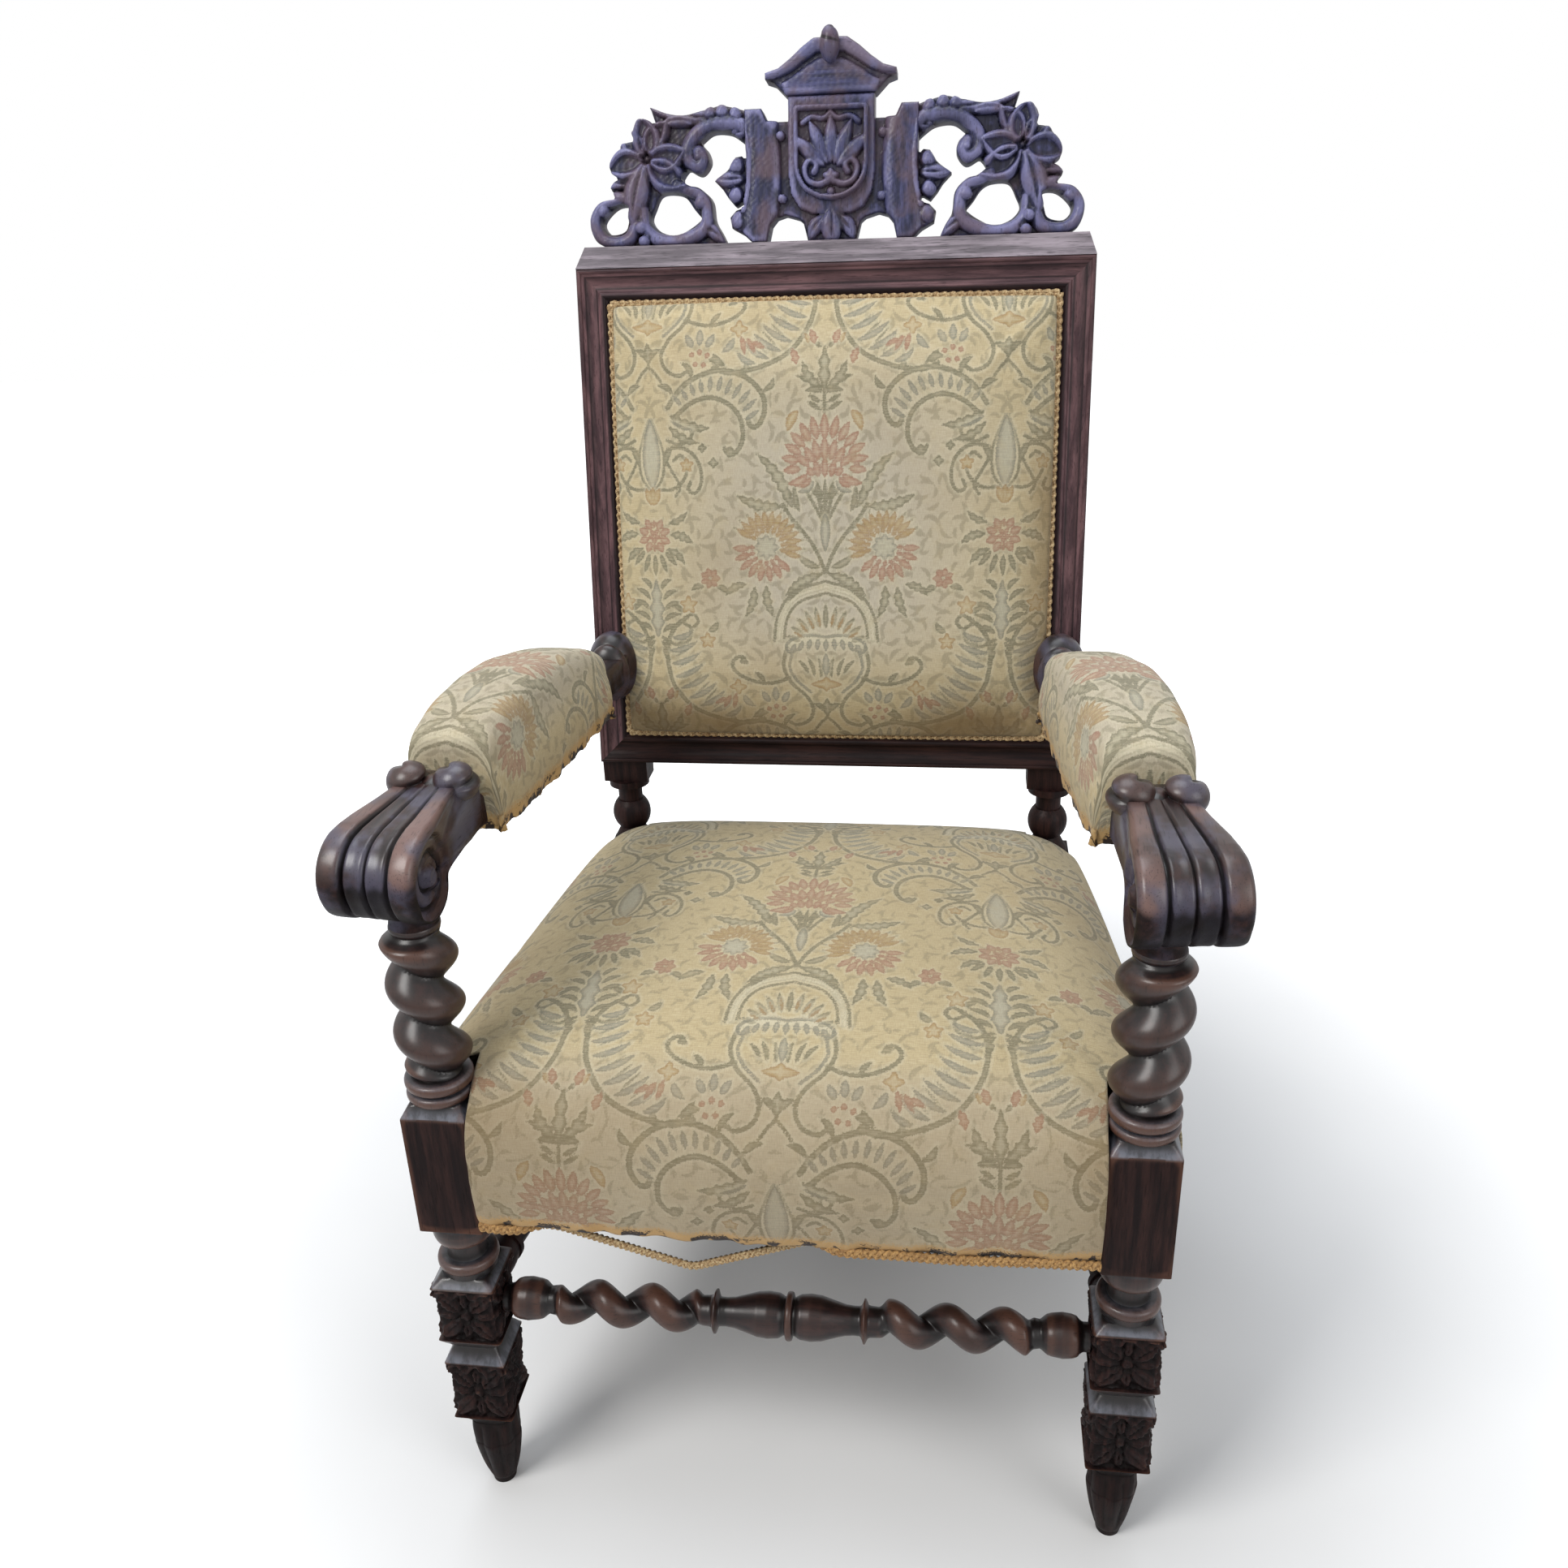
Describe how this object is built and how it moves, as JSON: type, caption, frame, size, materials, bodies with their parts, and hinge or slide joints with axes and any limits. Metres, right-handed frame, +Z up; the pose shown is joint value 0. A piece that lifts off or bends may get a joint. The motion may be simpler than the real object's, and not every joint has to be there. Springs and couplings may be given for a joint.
{
  "type": "bishops chair",
  "caption": "Dark carved oak bishops chair with barley-twist arm supports, scrolled arms, pierced cresting and worn floral brocade upholstery",
  "frame": {"origin": "on the floor, under the middle of the chair's bounding box", "axes": "+X to the viewer's right, -Y towards the sitter's front, +Z up"},
  "size_m": [0.7252, 0.7218, 1.3582],
  "materials": {
    "dark_oak": "waxed, worn on the high places",
    "brocade": "woven floral brocade, worn",
    "gold_braid": "gimp braid, frayed",
    "hessian": "coarse plain weave",
    "jute_webbing": "twilled webbing",
    "spring_steel": "dull drawn wire",
    "tack_iron": "blued iron"
  },
  "bodies": {
    "root": {"front_leg_left": "dark_oak", "front_leg_right": "dark_oak", "rear_leg_left": "dark_oak", "rear_leg_right": "dark_oak", "seat_rail_front": "dark_oak", "seat_rail_rear": "dark_oak", "seat_rail_left": "dark_oak", "seat_rail_right": "dark_oak", "seat_corner_blocks": "dark_oak", "stretcher_front": "dark_oak", "stretcher_rear": "dark_oak", "stretcher_left": "dark_oak", "stretcher_right": "dark_oak", "back_rail_top": "dark_oak", "back_rail_bottom": "dark_oak", "back_moulding_left": "dark_oak", "back_moulding_right": "dark_oak", "back_moulding_top": "dark_oak", "back_moulding_bottom": "dark_oak", "crest_base": "dark_oak", "crest_cartouche": "dark_oak", "crest_pediment": "dark_oak", "crest_finial": "dark_oak", "crest_shield": "dark_oak", "crest_wing_left": "dark_oak", "crest_wing_right": "dark_oak", "crest_dowels": "dark_oak", "arm_left": "dark_oak", "arm_right": "dark_oak", "arm_dowels": "dark_oak", "seat_pad": "brocade", "back_pad": "brocade", "arm_pad_left": "brocade", "arm_pad_right": "brocade", "seat_braid": "gold_braid", "loose_braid": "gold_braid", "back_braid": "gold_braid", "spring_canvas": "hessian", "back_canvas": "hessian", "back_cover": "hessian", "seat_webbing": "jute_webbing", "back_webbing": "jute_webbing", "seat_springs": "spring_steel", "webbing_tacks": "tack_iron"}
  },
  "joints": []
}
